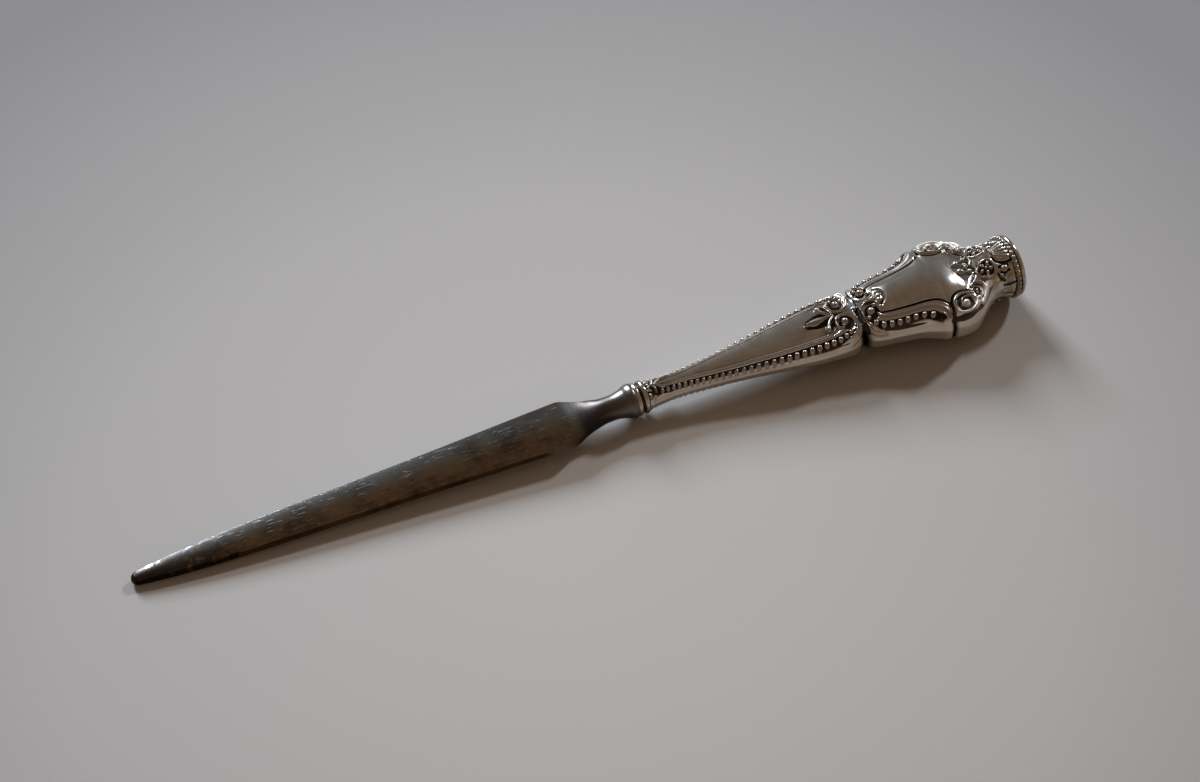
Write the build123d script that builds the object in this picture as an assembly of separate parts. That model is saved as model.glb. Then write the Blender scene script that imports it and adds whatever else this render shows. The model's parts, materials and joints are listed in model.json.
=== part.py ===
from build123d import *
import os
from math import atan2, cos, degrees, pi, sin

# Antique hand letter opener: a steel blade held by its tang in a hollow silver handle.
# The pieces are drawn with the tool's axis on X, from the blade's tip towards +X, with X = 0 at
# the handle's mouth and the flat faces up and down. They are then laid down as the tool lies on
# a table: on its tip and its rim.

# ---- driving dimensions, mm ----
# blade: one forging with shoulders, neck, bolster and tang
BLADE_LENGTH = 89.8            # tip to shoulders
TIP_RADIUS = 1.1
TIP_WIDTH = 2.2                # where the rounded tip ends
TIP_THICKNESS = 1.9
POINT_LENGTH = 8.0             # the quickly widening point
POINT_WIDTH = 4.3
BLADE_MID_WIDTH = 8.0          # half way along
BLADE_WIDTH = 11.2             # across the shoulders
BLADE_THICKNESS = 2.1
EDGE_THICKNESS = 1.6           # the edges are blunt
SHOULDER_MID_WIDTH = 7.0       # half way down the shoulders
SHOULDER_LENGTH = 7.6          # shoulders to the thinnest place of the neck
NECK_DIAMETER = 4.75
BOLSTER_LENGTH = 7.1           # thinnest place of the neck to the bolster's back
BOLSTER_DIAMETER = 7.3
BOLSTER_LIP = 0.9              # depth of the bolster's rounded lip
TANG_LENGTH = 38.0
TANG_DIAMETER = 3.0            # at the bolster
TANG_END_DIAMETER = 2.2
TANG_CLEARANCE = 0.05          # round the tang, in the ring and in the core

# mouth ring
RING_LENGTH = 2.5
RING_DIAMETER = 7.0
RING_GROOVE_DEPTH = 0.4
RING_EDGE_FILLET = 0.25

# handle, from the ring to the end cap
SHAFT_LENGTH = 46.4            # ring to waist
BULB_LENGTH = 17.9             # waist to the notch before the big volutes
VOLUTE_LENGTH = 14.0           # notch to the flare's neck
FLARE_LENGTH = 3.7             # the flare's neck to the end cap
MOUTH_WIDTH = 5.8
SLIM_WIDTH = 5.0               # slimmest place of the shaft
SHAFT_LOWER_WIDTH = 6.5
SHAFT_MID_WIDTH = 9.1
SHAFT_UPPER_WIDTH = 12.1
HIP_WIDTH = 13.8               # widest place of the shaft
HIP_CORNER = 4.3               # from the hip to the waist
WAIST_WIDTH = 9.5
BULB_SHOULDER_WIDTH = 14.6
BULB_MID_WIDTH = 16.9
LOBE_WIDTH = 21.7              # the scroll ends beside the notch
NOTCH_WIDTH = 20.2
NOTCH_LENGTH = 1.3
VOLUTE_WIDTH = 22.2            # widest place of the handle
FALL_WIDTH = 18.8              # behind the big volutes
TAPER_WIDTH = 14.0
FLARE_NECK_DIAMETER = 11.6
RIM_DIAMETER = 12.7
RIM_THICKNESS = 0.9
WALL = 0.5                     # thickness of the struck silver
MOUTH_HEIGHT = 5.2             # thickness of the handle over its crowned faces
LOWER_HEIGHT = 5.7
SHAFT_MID_HEIGHT = 6.6
UPPER_HEIGHT = 7.5
HIP_HEIGHT = 8.2
WAIST_HEIGHT = 7.8
BULB_HEIGHT = 10.4
VOLUTE_HEIGHT = 11.4
FALL_HEIGHT = 10.6
TAPER_HEIGHT = 9.8
MOUTH_BAND = 3.0               # height of the plain band along each side
LOWER_BAND = 3.2
SHAFT_MID_BAND = 3.5
UPPER_BAND = 3.8
HIP_BAND = 4.4
BULB_BAND = 4.8
LOBE_BAND = 5.8
VOLUTE_BAND = 6.4
EDGE_INSET_SHARE = 0.5         # how far an inner section's edge comes down with the wall
CORE_CLEARANCE = 0.03          # between the core and the shells

# end cap
CAP_THICKNESS = 1.0
CAP_DIAMETER = 13.2
CAP_SPIGOT_LENGTH = 1.4
CAP_CLEARANCE = 0.05
FLARE_BORE = 10.2
CAP_EDGE_FILLET = 0.35

# ornament in relief, mirrored over the axis and from the top to the bottom
SHAFT_BEADS = 28
SMALL_BEAD = 0.9               # bead diameters, at the mouth
LARGE_BEAD = 1.25              # and at the hip
MOUTH_BEAD_INSET = 0.55        # bead centres from the edge, at the mouth
HIP_BEAD_INSET = 1.45          # and at the hip
BEAD_START = 2.5               # first bead from the mouth
BEAD_CROWDING = 0.85           # share of even spacing; the rest opens up towards the hip
BULB_BEADS = 8
BULB_BEAD_INSET = 1.35
BULB_BEAD_START = 3.0          # from the waist
BULB_BEAD_END = 4.6            # from the notch
MOUTH_EYE = 1.0                # bosses in the eyes of the scrolls
HIP_EYE = 1.6
BIG_EYE = 1.8
HIP_VOLUTE_DIAMETER = 3.8      # raised rings round the eyes
BIG_VOLUTE_DIAMETER = 4.0
LINE_WIDTH = 0.6                # of the raised rings
LINE_SINK = 0.15                # how far they lie in the face
HIP_EYE_BACK = 3.0             # eye of the hip's scroll, from the waist
BULB_EYE_AHEAD = 3.2           # eye of the bulb's scroll, from the waist
BIG_EYE_AHEAD = 2.5            # eye of the big volute, from the notch
BUD = 1.6
BUD_AHEAD = 6.2                # the bud cluster, from the notch
RIM_BEADS = 36
RIM_BEAD = 1.0

# where the outline's named widths sit, as shares of the length they belong to
SLIM_AT = 6.0                  # slimmest place, from the mouth
LOWER_SHARE = 0.33             # SHAFT_LOWER_WIDTH on the shaft
MID_SHARE = 0.52               # SHAFT_MID_WIDTH
UPPER_SHARE = 0.72             # SHAFT_UPPER_WIDTH
SHOULDER_SHARE = 0.26          # BULB_SHOULDER_WIDTH on the bulb
BULB_MID_SHARE = 0.6           # BULB_MID_WIDTH on the bulb
WIDEST_SHARE = 0.2             # VOLUTE_WIDTH behind the notch
FALL_SHARE = 0.52              # FALL_WIDTH
TAPER_SHARE = 0.72             # TAPER_WIDTH and TAPER_HEIGHT

# ---- places along X ----
MOUTH = 0.0
BOLSTER = MOUTH - RING_LENGTH
NECK = BOLSTER - BOLSTER_LENGTH
SHOULDER = NECK - SHOULDER_LENGTH
TIP = SHOULDER - BLADE_LENGTH
WAIST = MOUTH + SHAFT_LENGTH
NOTCH = WAIST + BULB_LENGTH
FLARE_NECK = NOTCH + VOLUTE_LENGTH
SHELL_END = FLARE_NECK + FLARE_LENGTH
CAP_END = SHELL_END + CAP_THICKNESS

AXIS_X = Axis((0, 0, 0), (1, 0, 0))
RIM_BEAD_X = SHELL_END - RIM_BEAD * 0.6
RIM_BEAD_RADIUS = RIM_DIAMETER / 2 - RIM_BEAD * 0.05


# ---- the handle's form: spans of crowned sections, one after the other ----
def spans():
    """Each span's sections as (x, width, height over both faces, height of the side band)."""
    shaft_end = WAIST - HIP_CORNER
    shaft = [
        (MOUTH, MOUTH_WIDTH, MOUTH_HEIGHT, MOUTH_BAND),
        (MOUTH + SLIM_AT, SLIM_WIDTH, MOUTH_HEIGHT, MOUTH_BAND),
        (MOUTH + SHAFT_LENGTH * LOWER_SHARE, SHAFT_LOWER_WIDTH, LOWER_HEIGHT, LOWER_BAND),
        (MOUTH + SHAFT_LENGTH * MID_SHARE, SHAFT_MID_WIDTH, SHAFT_MID_HEIGHT, SHAFT_MID_BAND),
        (MOUTH + SHAFT_LENGTH * UPPER_SHARE, SHAFT_UPPER_WIDTH, UPPER_HEIGHT, UPPER_BAND),
        (shaft_end, HIP_WIDTH, HIP_HEIGHT, HIP_BAND),
    ]
    corner = []
    for share in (0, 1 / 3, 2 / 3, 1):
        turn = share * pi / 2
        width = WAIST_WIDTH + (HIP_WIDTH - WAIST_WIDTH) * cos(turn)
        height = WAIST_HEIGHT + (HIP_HEIGHT - WAIST_HEIGHT) * cos(turn)
        corner.append((shaft_end + HIP_CORNER * sin(turn), width, height, HIP_BAND))
    lobe = (NOTCH - NOTCH_LENGTH / 2, LOBE_WIDTH, VOLUTE_HEIGHT, LOBE_BAND)
    notch = (NOTCH, NOTCH_WIDTH, VOLUTE_HEIGHT, LOBE_BAND)
    rise = (NOTCH + NOTCH_LENGTH / 2, LOBE_WIDTH, VOLUTE_HEIGHT, LOBE_BAND)
    bulb = [
        corner[-1],
        (WAIST + BULB_LENGTH * SHOULDER_SHARE, BULB_SHOULDER_WIDTH, BULB_HEIGHT, BULB_BAND),
        (WAIST + BULB_LENGTH * BULB_MID_SHARE, BULB_MID_WIDTH, VOLUTE_HEIGHT, BULB_BAND),
        lobe,
    ]
    volute = [
        rise,
        (NOTCH + VOLUTE_LENGTH * WIDEST_SHARE, VOLUTE_WIDTH, VOLUTE_HEIGHT, VOLUTE_BAND),
        (NOTCH + VOLUTE_LENGTH * FALL_SHARE, FALL_WIDTH, FALL_HEIGHT, VOLUTE_BAND),
        (NOTCH + VOLUTE_LENGTH * TAPER_SHARE, TAPER_WIDTH, TAPER_HEIGHT, VOLUTE_BAND),
        (FLARE_NECK, FLARE_NECK_DIAMETER, TAPER_HEIGHT, VOLUTE_BAND),
    ]
    return [shaft, corner, bulb, [lobe, notch], [notch, rise], volute]


def section(station, inset, lower=True):
    """One section: crowned above and below, with a plain band each side, or its upper half."""
    x, width, height, band = station
    reach = width / 2 - inset
    top = height / 2 - inset
    edge = band / 2 - inset * EDGE_INSET_SHARE
    foot = -edge if lower else 0
    below = ThreePointArc((-reach, foot), (0, -top), (reach, foot))
    outline = [
        below if lower else Line((-reach, foot), (reach, foot)),
        Line((reach, foot), (reach, edge)),
        ThreePointArc((reach, edge), (0, top), (-reach, edge)),
        Line((-reach, edge), (-reach, foot)),
    ]
    return Plane(origin=(x, 0, 0), x_dir=(0, 1, 0), z_dir=(1, 0, 0)) * make_face(outline)


def form(inset, lower=True):
    """The handle's body up to the flare, smaller by the inset all round, or its upper half."""
    return Part() + [loft([section(s, inset, lower) for s in span]) for span in spans()]


def station_at(x):
    """Width, height and band of the handle at x, eased between the named sections."""
    stations = sorted({s for span in spans() for s in span})
    x = min(max(x, stations[0][0]), stations[-1][0])
    before, after = next(pair for pair in zip(stations, stations[1:]) if x <= pair[1][0])
    share = (x - before[0]) / (after[0] - before[0])
    return [a + (b - a) * share for a, b in zip(before[1:], after[1:])]


def surface_point(x, inset):
    """The place on the top face at x, the inset in from the +Y edge."""
    width, height, band = station_at(x)
    y = width / 2 - inset
    return (x, y, height / 2 - (height - band) / 2 * (2 * y / width) ** 2)


def flare():
    """The round flared end, which grows out of the body."""
    neck = FLARE_NECK_DIAMETER / 2
    rim = RIM_DIAMETER / 2
    start = NOTCH + VOLUTE_LENGTH * TAPER_SHARE
    lip = SHELL_END - RIM_THICKNESS
    root = TAPER_HEIGHT / 2 - WALL
    sweep_out = Spline((start, root), (FLARE_NECK, neck), (lip, rim), tangents=((1, 0.2), (1, 0.6)))
    rest = Polyline((lip, rim), (SHELL_END, rim), (SHELL_END, 0), (start, 0), (start, root))
    return revolve(make_face([sweep_out, rest]), AXIS_X)


def cavity(inset):
    """The room inside the shells: the body less a wall, and a bore through the flare."""
    bore = FLARE_BORE / 2 - (inset - WALL)
    length = SHELL_END - FLARE_NECK + WALL
    through = Pos(FLARE_NECK - WALL, 0, 0) * Rot(0, 90, 0) * Cylinder(
        bore, length, align=(Align.CENTER, Align.CENTER, Align.MIN))
    return form(inset) + through


# ---- relief on one quarter of the handle: +Y, top ----
def boss(x, y_share, diameter):
    """A round boss sunk to its middle in the top face, at a share of the half width."""
    inset = station_at(x)[0] / 2 * (1 - y_share)
    return Pos(*surface_point(x, inset)) * Sphere(diameter / 2)


def ring(x, y_share, diameter):
    """A raised ring lying a little sunk on the top face, leaning with the crown."""
    width, height, band = station_at(x)
    x, y, z = surface_point(x, width / 2 * (1 - y_share))
    lean = degrees(atan2((height - band) * 4 * y / width, width))
    return Pos(x, y, z) * Rot(-lean, 0, 0) * Pos(0, 0, -LINE_SINK) * Torus(
        diameter / 2, LINE_WIDTH / 2)


def shaft_beads():
    """The long row beside the edge, from the mouth to the hip, growing as it goes."""
    start, end = MOUTH + BEAD_START, WAIST - HIP_CORNER
    beads = []
    for number in range(SHAFT_BEADS):
        share = number / (SHAFT_BEADS - 1)
        along = share * (BEAD_CROWDING + (1 - BEAD_CROWDING) * share)
        inset = MOUTH_BEAD_INSET + (HIP_BEAD_INSET - MOUTH_BEAD_INSET) * along
        size = SMALL_BEAD + (LARGE_BEAD - SMALL_BEAD) * along
        beads.append(Pos(*surface_point(start + (end - start) * along, inset)) * Sphere(size / 2))
    return beads


def bulb_beads():
    """The short row inside the bulb's scroll."""
    start, end = WAIST + BULB_BEAD_START, NOTCH - BULB_BEAD_END
    pitch = (end - start) / (BULB_BEADS - 1)
    return [Pos(*surface_point(start + number * pitch, BULB_BEAD_INSET)) * Sphere(LARGE_BEAD / 2)
            for number in range(BULB_BEADS)]


def scrolls():
    """Eyes and rings of the scrolls at the mouth, the hip, the bulb and the big volute."""
    hip, bulb = WAIST - HIP_EYE_BACK, WAIST + BULB_EYE_AHEAD
    big = NOTCH + BIG_EYE_AHEAD
    return [
        boss(MOUTH + MOUTH_EYE, 0.75, MOUTH_EYE),
        boss(hip, 0.36, HIP_EYE),
        ring(hip, 0.36, HIP_VOLUTE_DIAMETER),
        boss(bulb, 0.38, HIP_EYE),
        boss(big, 0.77, BIG_EYE),
        ring(big, 0.77, BIG_VOLUTE_DIAMETER),
    ]


def buds():
    """The clusters on and beside the middle line."""
    cluster = NOTCH + BUD_AHEAD
    palmette = WAIST + 1.7 * BULB_EYE_AHEAD
    return [
        boss(palmette, 0, BUD * 0.8),
        boss(palmette, 0.2, BUD * 0.7),
        boss(cluster, 0.13, BUD),
        boss(cluster + BUD, 0.15, BUD),
        boss(cluster + 2 * BUD, 0.75, BUD),
    ]


def rim_beads():
    """The bead ring on the flare, on the top half."""
    step = 2 * pi / RIM_BEADS
    bead = Sphere(RIM_BEAD / 2)
    turns = [(number + 0.5) * step for number in range(RIM_BEADS // 2)]
    return [Pos(RIM_BEAD_X, RIM_BEAD_RADIUS * cos(turn), RIM_BEAD_RADIUS * sin(turn)) * bead
            for turn in turns]


# ---- the pieces, along the axis ----
def top_shell():
    """The upper struck half: half the form with its relief and round end, less the room."""
    quarter = Part() + [*shaft_beads(), *bulb_beads(), *scrolls(), *buds()]
    size = 2 * CAP_END
    above = Box(size, size, size, align=(Align.CENTER, Align.CENTER, Align.MIN))
    ends = (flare() + rim_beads()) & above
    shell = form(0, lower=False) + ends + quarter + mirror(quarter, about=Plane.XZ)
    return shell - cavity(WALL)


def neck_and_bolster():
    """The round neck, which rises out of the blade, and the bell-shaped bolster."""
    start = (SHOULDER - BLADE_THICKNESS / 2, BLADE_THICKNESS / 4)
    waist = (NECK, NECK_DIAMETER / 2)
    swell = (NECK + BOLSTER_LENGTH * 0.45, NECK_DIAMETER * 0.35 + BOLSTER_DIAMETER * 0.15)
    lip = (BOLSTER - BOLSTER_LIP, BOLSTER_DIAMETER / 2)
    back = (BOLSTER, BOLSTER_DIAMETER / 2 - BOLSTER_LIP / 3)
    profile = [
        Spline(start, waist, swell, lip, tangents=((1, 0.5), (1, 0.3))),
        Spline(lip, back, tangents=((1, 0.1), (0, -1))),
        Polyline(back, (BOLSTER, 0), (start[0], 0), start),
    ]
    return revolve(make_face(profile), AXIS_X)


def tang(clearance):
    """The tapering tang behind the bolster, or with a clearance the hole that it goes in."""
    length = TANG_LENGTH + clearance
    cone = Cone(TANG_DIAMETER / 2 + clearance, TANG_END_DIAMETER / 2 + clearance, length,
                align=(Align.CENTER, Align.CENTER, Align.MIN))
    return Pos(BOLSTER, 0, 0) * Rot(0, 90, 0) * cone


def blade():
    """The forging: rounded tip, flat convex blade, shoulders, neck, bolster and tang."""
    tip = []
    for share in (0.15, 0.4, 0.7, 1):
        turn = share * pi / 2
        thickness = TIP_THICKNESS * sin(turn)
        x = TIP + TIP_RADIUS * (1 - cos(turn))
        tip.append((x, TIP_WIDTH * sin(turn), thickness, thickness / 2))
    flat = [
        tip[-1],
        (TIP + POINT_LENGTH, POINT_WIDTH, (TIP_THICKNESS + BLADE_THICKNESS) / 2, EDGE_THICKNESS),
        (TIP + BLADE_LENGTH / 2, BLADE_MID_WIDTH, BLADE_THICKNESS, EDGE_THICKNESS),
        (SHOULDER, BLADE_WIDTH, BLADE_THICKNESS, EDGE_THICKNESS),
    ]
    shoulders = [
        flat[-1],
        (SHOULDER + SHOULDER_LENGTH / 2, SHOULDER_MID_WIDTH, BLADE_THICKNESS, EDGE_THICKNESS),
        (NECK, NECK_DIAMETER * 0.8, BLADE_THICKNESS, EDGE_THICKNESS),
    ]
    plates = [loft([section(s, 0) for s in span]) for span in (tip, flat, shoulders)]
    return Part() + [*plates, neck_and_bolster(), tang(0)]


def mouth_ring():
    """The ferrule: two mouldings with a groove between them, bored for the tang."""
    outer = RING_DIAMETER / 2
    bead = RING_LENGTH * 0.3
    first = (BOLSTER + bead, outer - RING_GROOVE_DEPTH)
    second = (BOLSTER + 2 * bead, outer - RING_GROOVE_DEPTH)
    profile = [
        Line((BOLSTER, 0), (BOLSTER, outer - RING_EDGE_FILLET)),
        ThreePointArc((BOLSTER, outer - RING_EDGE_FILLET), (BOLSTER + bead / 2, outer), first),
        Line(first, second),
        ThreePointArc(second, ((second[0] + MOUTH) / 2, outer), (MOUTH, outer - RING_EDGE_FILLET)),
        Polyline((MOUTH, outer - RING_EDGE_FILLET), (MOUTH, 0), (BOLSTER, 0)),
    ]
    return revolve(make_face(profile), AXIS_X) - tang(TANG_CLEARANCE)


def end_cap():
    """The disc that closes the flared end, with the spigot that fits its bore."""
    outward = (Align.CENTER, Align.CENTER, Align.MIN)
    disc = Pos(SHELL_END, 0, 0) * Rot(0, 90, 0) * Cylinder(CAP_DIAMETER / 2, CAP_THICKNESS,
                                                          align=outward)
    disc = fillet(disc.edges().group_by(Axis.X)[-1], CAP_EDGE_FILLET)
    spigot = Pos(SHELL_END - CAP_SPIGOT_LENGTH, 0, 0) * Rot(0, 90, 0) * Cylinder(
        FLARE_BORE / 2 - CAP_CLEARANCE, CAP_SPIGOT_LENGTH, align=outward)
    return disc + spigot


def pitch_core():
    """The filling: the room inside the shells, less the tang's hole and the cap's spigot."""
    size = 2 * CAP_END
    end = SHELL_END - CAP_SPIGOT_LENGTH - CAP_CLEARANCE
    beyond = Pos(end, 0, 0) * Box(size, size, size, align=(Align.MIN, Align.CENTER, Align.CENTER))
    return cavity(WALL + CORE_CLEARANCE) - tang(TANG_CLEARANCE) - beyond


# ---- laying the tool down and writing it ----
def rest_tilt():
    """The angle between axis and table when tip and rim both touch it, in degrees."""
    rim_drop = RIM_BEAD_RADIUS + RIM_BEAD / 2
    return degrees(atan2(rim_drop - TIP_THICKNESS / 2, RIM_BEAD_X - TIP - TIP_RADIUS))


def main():
    """Make every piece, lay the tool on its tip and rim, and write one file for each node."""
    top = top_shell()
    pieces = {
        "blade": blade(),
        "mouth_ring": mouth_ring(),
        "handle_shell_top": top,
        "handle_shell_bottom": mirror(top, about=Plane.XY),
        "end_cap": end_cap(),
        "pitch_core": pitch_core(),
    }
    lying = {name: Rot(0, -rest_tilt(), 0) * piece for name, piece in pieces.items()}
    box = Compound(list(lying.values())).bounding_box()
    ground = Pos(-box.center().X, -box.center().Y, -box.min.Z)
    os.makedirs("parts", exist_ok=True)
    for name, piece in lying.items():
        export_step(ground * piece, f"parts/{name}.step")


main()
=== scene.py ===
# Antique letter opener: a patinated steel blade in a struck silver handle with bead rows and
# scrolls in relief. Forms are drawn in millimetres along the tool's axis: x runs from the blade's
# tip to the end cap, y across, z up from the axis. The frame says where that axis lies.
import json
import math

import bpy
import numpy as np
from mathutils import Matrix, Vector


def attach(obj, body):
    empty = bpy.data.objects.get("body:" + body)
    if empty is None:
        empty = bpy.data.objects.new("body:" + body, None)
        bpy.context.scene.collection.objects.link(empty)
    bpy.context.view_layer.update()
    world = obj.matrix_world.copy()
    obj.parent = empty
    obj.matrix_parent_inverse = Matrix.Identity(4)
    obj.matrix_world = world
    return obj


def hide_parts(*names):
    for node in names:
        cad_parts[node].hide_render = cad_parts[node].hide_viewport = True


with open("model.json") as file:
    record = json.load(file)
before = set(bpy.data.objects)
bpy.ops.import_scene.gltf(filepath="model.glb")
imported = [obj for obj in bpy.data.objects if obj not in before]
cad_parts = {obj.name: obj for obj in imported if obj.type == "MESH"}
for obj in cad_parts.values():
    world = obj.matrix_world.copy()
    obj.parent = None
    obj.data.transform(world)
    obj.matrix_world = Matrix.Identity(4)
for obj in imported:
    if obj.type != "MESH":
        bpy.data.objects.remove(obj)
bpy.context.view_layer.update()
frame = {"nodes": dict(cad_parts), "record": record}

MM = 0.001
LENGTH = 190.0
BODY = "root"
TOP, BOTTOM = "handle_shell_top", "handle_shell_bottom"

# ---- the axis, read from the frame ----
end_mount = next(m for m in frame["record"]["mounts"] if m["name"] == "end_face")
ALONG = Vector(end_mount["axis"]).normalized()
ACROSS = Vector((0, 1, 0))
UP = ALONG.cross(ACROSS)
TIP = Vector(end_mount["pos_m"]) - ALONG * LENGTH * MM

# ---- form of the handle: half its width, half its height and half its plain band, over x ----
WAIST_X, NOTCH_X = 153.4, 171.3
SHAFT_WIDTH = [(106.4, 2.95), (109.5, 2.65), (113, 2.5), (122, 3.26), (131, 4.54), (140, 6.06),
               (145, 6.72), (149.2, 6.9)]
BULB_WIDTH = [(153.4, 4.7), (153.9, 5.5), (154.7, 6.3), (156.0, 6.95), (158, 7.4), (161, 7.9),
              (165, 8.65), (168, 9.85), (170.5, 10.9), (172.1, 10.9), (174, 11.02),
              (176.2, 10.8), (178.5, 9.4), (180.6, 7.6), (182.6, 6.35), (185.3, 5.8),
              (187.2, 6.0), (188.3, 6.35), (189, 6.35)]
CROWN_HEIGHT = [(106.4, 2.65), (113, 2.6), (125, 3.05), (134, 3.5), (146, 4.1), (151.5, 4.15),
                (153.4, 4.2), (155, 4.8), (160, 5.35), (168, 5.65), (172, 5.6), (175, 5.2),
                (178, 4.75), (180, 4.7), (182.5, 5.15), (185.3, 5.8), (187.2, 6.0), (188.3, 6.35),
                (189, 6.35)]
BAND_HEIGHT = [(106.4, 1.2), (113, 1.15), (125, 1.2), (134, 1.35), (146, 1.75), (148.5, 2.0),
               (151, 2.5), (153.4, 2.6), (155.5, 2.3), (158, 2.15), (161, 2.2), (168, 2.6),
               (171, 3.0), (176, 3.4), (181, 3.5), (189, 3.5)]
# the crown's form across: 0.5 is an ellipse, less is fuller at the edge
CROWN_FULLNESS = [(106.4, 0.6), (125, 0.66), (140, 0.6), (148, 0.48), (153.4, 0.38),
                  (158, 0.62), (165, 0.72), (170, 0.64), (178, 0.6), (181, 0.5)]
UNDERSIDE_FALL = 0.65        # the lower half falls away sooner from the band
BAND_BULGE = (0.32, 0.12)    # of the band's half height, above the seam and under it
BAND_SHARE = 0.2             # the band's share of the way up from the seam
BAND_ROUNDING = 1.12         # 1 would be a flat face
TURNS_ROUND = (180.2, 184.6)            # where the body turns round into the flare
NOTCH_DEPTH, NOTCH_SPREAD, NOTCH_SHARPNESS = 0.7, 0.5, 1.6
WALL = 0.5                   # thickness of the struck silver


def smooth(table, x):
    """A smooth curve through a table of (x, value), with no overshoot between its points."""
    px, py = (np.array(column, float) for column in zip(*table))
    step, rise = np.diff(px), np.diff(py)
    slope = rise / step
    tangent = np.zeros_like(px)
    same = slope[:-1] * slope[1:] > 0
    near, far = step[:-1], step[1:]
    w1, w2 = 2 * far + near, far + 2 * near
    harmonic = (w1 + w2) / (w1 / np.where(same, slope[:-1], 1) + w2 / np.where(same, slope[1:], 1))
    tangent[1:-1] = np.where(same, harmonic, 0)
    tangent[0], tangent[-1] = slope[0], slope[-1]
    x = np.clip(x, px[0], px[-1])
    k = np.clip(np.searchsorted(px, x, side="right") - 1, 0, len(px) - 2)
    t = (x - px[k]) / step[k]
    return (py[k] * (1 + 2 * t) * (1 - t) ** 2 + tangent[k] * step[k] * t * (1 - t) ** 2
            + py[k + 1] * t * t * (3 - 2 * t) + tangent[k + 1] * step[k] * t * t * (t - 1))


def ease(x, low, high):
    """0 below low, 1 above high, smooth between."""
    t = np.clip((x - low) / (high - low), 0, 1)
    return t * t * (3 - 2 * t)


def half_width(x):
    """Half the handle's width: shaft, rounded hip corner, bulb with its notch, flare."""
    x = np.asarray(x, float)
    hip_x, hip_w = SHAFT_WIDTH[-1]
    waist_w = BULB_WIDTH[0][1]
    turn = np.clip((x - hip_x) / (WAIST_X - hip_x), 0, 1)
    corner = waist_w + (hip_w - waist_w) * np.sqrt(1 - turn ** 2)
    notch = NOTCH_DEPTH * np.exp(-np.abs((x - NOTCH_X) / NOTCH_SPREAD) ** NOTCH_SHARPNESS)
    width = np.where(x < hip_x, smooth(SHAFT_WIDTH, x), corner)
    return np.where(x < WAIST_X, width, smooth(BULB_WIDTH, x) - notch)


# ---- relief: heights over the handle's surface, drawn in plan on |y| ----
# A stroke's skirt falls away past its foot; REACH and FOOT say how far it is followed.
SKIRT_FALL = 3
REACH, REACH_MARGIN = 1.3, 0.05
LINE_FOOT, DOME_FOOT = 1.25, 1.5
BLEND = 0.03                 # how softly a stroke meets what is there
FAR = 9.0
CURVE_STEP = 0.12
ARC_POINTS = 14


class Relief:
    """A field of heights in mm at places (x, y); strokes raise it or sink it."""

    def __init__(self, x, y):
        self.x, self.y = x, y
        self.h = np.zeros_like(x)

    def near(self, path):
        """The places within a path's reach, with their distance over its radius."""
        reach = path[:, 2].max() * REACH + REACH_MARGIN
        low, high = path[:, :2].min(0) - reach, path[:, :2].max(0) + reach
        inside = ((self.x > low[0]) & (self.x < high[0]) & (self.y > low[1]) & (self.y < high[1]))
        px, py = self.x[inside], self.y[inside]
        best = np.full(px.shape, FAR)
        for (ax, ay, ar), (bx, by, br) in zip(path[:-1], path[1:]):
            dx, dy = bx - ax, by - ay
            t = np.clip(((px - ax) * dx + (py - ay) * dy) / (dx * dx + dy * dy + 1e-12), 0, 1)
            away = np.hypot(px - ax - t * dx, py - ay - t * dy) / (ar + (br - ar) * t)
            best = np.minimum(best, away)
        return inside, best

    def lift(self, inside, shape):
        """Smooth maximum of the field and a shape."""
        old = self.h[inside]
        gap = old - shape
        self.h[inside] = (old + shape + np.sqrt(gap * gap + BLEND * BLEND)) / 2

    def ridge(self, points, height, base=0.0, power=0.6):
        """A rounded raised line; points are (x, y, radius)."""
        inside, q = self.near(curve(points))
        body = np.clip(1 - q * q, 0, None) ** power - np.clip(q - 1, 0, None) * SKIRT_FALL
        shape = base + height * body
        followed = q < LINE_FOOT
        where = np.zeros_like(inside)
        where[inside] = followed
        self.lift(where, shape[followed])

    def groove(self, points, depth, power=1.5):
        """A sunk line; points are (x, y, radius)."""
        inside, q = self.near(curve(points))
        self.h[inside] -= depth * np.clip(1 - q * q, 0, None) ** power

    def channel(self, points, depth, wall=0.25):
        """A sunk line with a flat floor; a place already lower stays."""
        inside, q = self.near(curve(points))
        floor = -depth * ease(1 - q, 0, wall)
        self.h[inside] = np.minimum(self.h[inside], np.where(q < 1, floor, FAR))

    def dome(self, x, y, along, across, height, base=0.0, turn=0.0, power=0.55):
        """A boss with two radii, turned by an angle in degrees."""
        c, s = math.cos(math.radians(turn)), math.sin(math.radians(turn))
        dx, dy = self.x - x, self.y - y
        q2 = ((dx * c + dy * s) / along) ** 2 + ((dy * c - dx * s) / across) ** 2
        where = q2 < DOME_FOOT
        q2 = q2[where]
        skirt = np.clip(np.sqrt(q2) - 1, 0, None) * SKIRT_FALL
        body = np.clip(1 - q2, 0, None) ** power - skirt
        self.lift(where, base + height * body)


def curve(points, step=CURVE_STEP):
    """A fine path through (x, y, radius) points, rounded between them."""
    p = np.array(points, float)
    if len(p) == 2:
        return p
    p = np.vstack([2 * p[0] - p[1], p, 2 * p[-1] - p[-2]])
    out = []
    for a, b, c, d in zip(p[:-3], p[1:-2], p[2:-1], p[3:]):
        count = max(2, int(np.hypot(*(c - b)[:2]) / step))
        t = np.linspace(0, 1, count, endpoint=False)[:, None]
        out.append(0.5 * (2 * b + (c - a) * t + (2 * a - 5 * b + 4 * c - d) * t ** 2
                          + (3 * b - a - 3 * c + d) * t ** 3))
    return np.vstack([*out, p[-2:-1]])


def with_radius(points, start, end=None):
    """(x, y) points with a radius that runs from start to end."""
    end = start if end is None else end
    last = max(1, len(points) - 1)
    return [(x, y, start + (end - start) * k / last) for k, (x, y) in enumerate(points)]


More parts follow.
